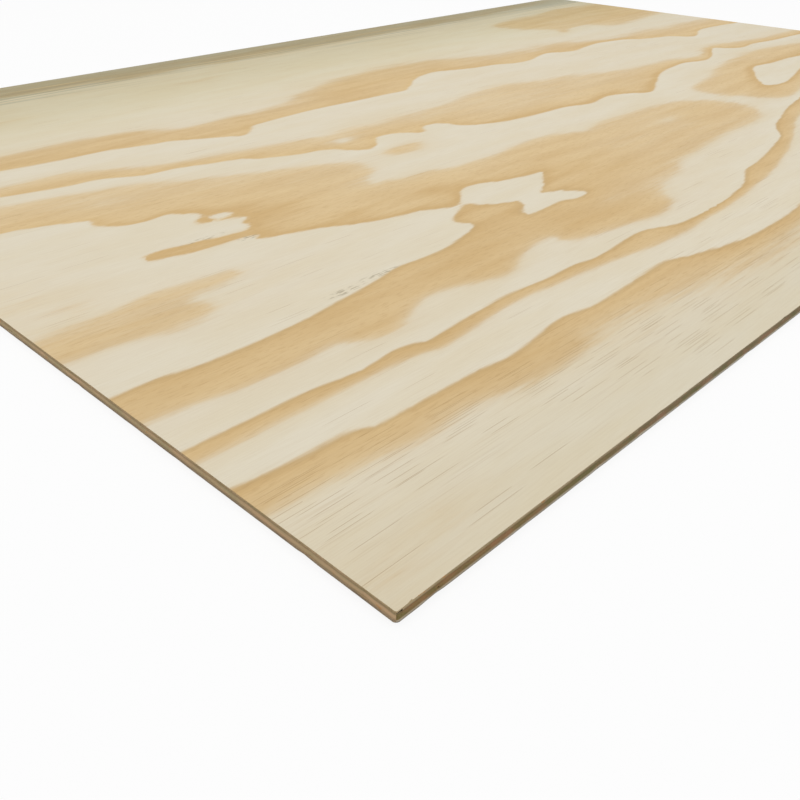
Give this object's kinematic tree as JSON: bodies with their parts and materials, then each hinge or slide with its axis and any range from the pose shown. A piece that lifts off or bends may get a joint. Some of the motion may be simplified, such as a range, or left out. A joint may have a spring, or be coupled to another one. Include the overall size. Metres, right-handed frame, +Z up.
{
  "type": "plywood sheet",
  "caption": "Flat rectangular pine plywood panel of crossed veneers, with a sanded figured face, sawn edges and worn corners; stock for lining, flooring and joinery.",
  "frame": {"origin": "middle of the back face, which lies on the floor", "axes": "+X along the length and the face grain, +Y across the width, +Z up through the thickness to the sanded face"},
  "size_m": [1.22, 0.813, 0.006],
  "materials": {
    "pine_back": "unsanded pine veneer with long grain along the sheet",
    "pine_core": "sawn pine veneer edge, end grain on the long sides and long grain on the short sides",
    "pine_face": "sanded matt rotary-cut pine veneer with pale earlywood and tan latewood"
  },
  "bodies": {
    "root": {"back_veneer": "pine_back", "core_veneer": "pine_core", "face_veneer": "pine_face"}
  },
  "joints": []
}
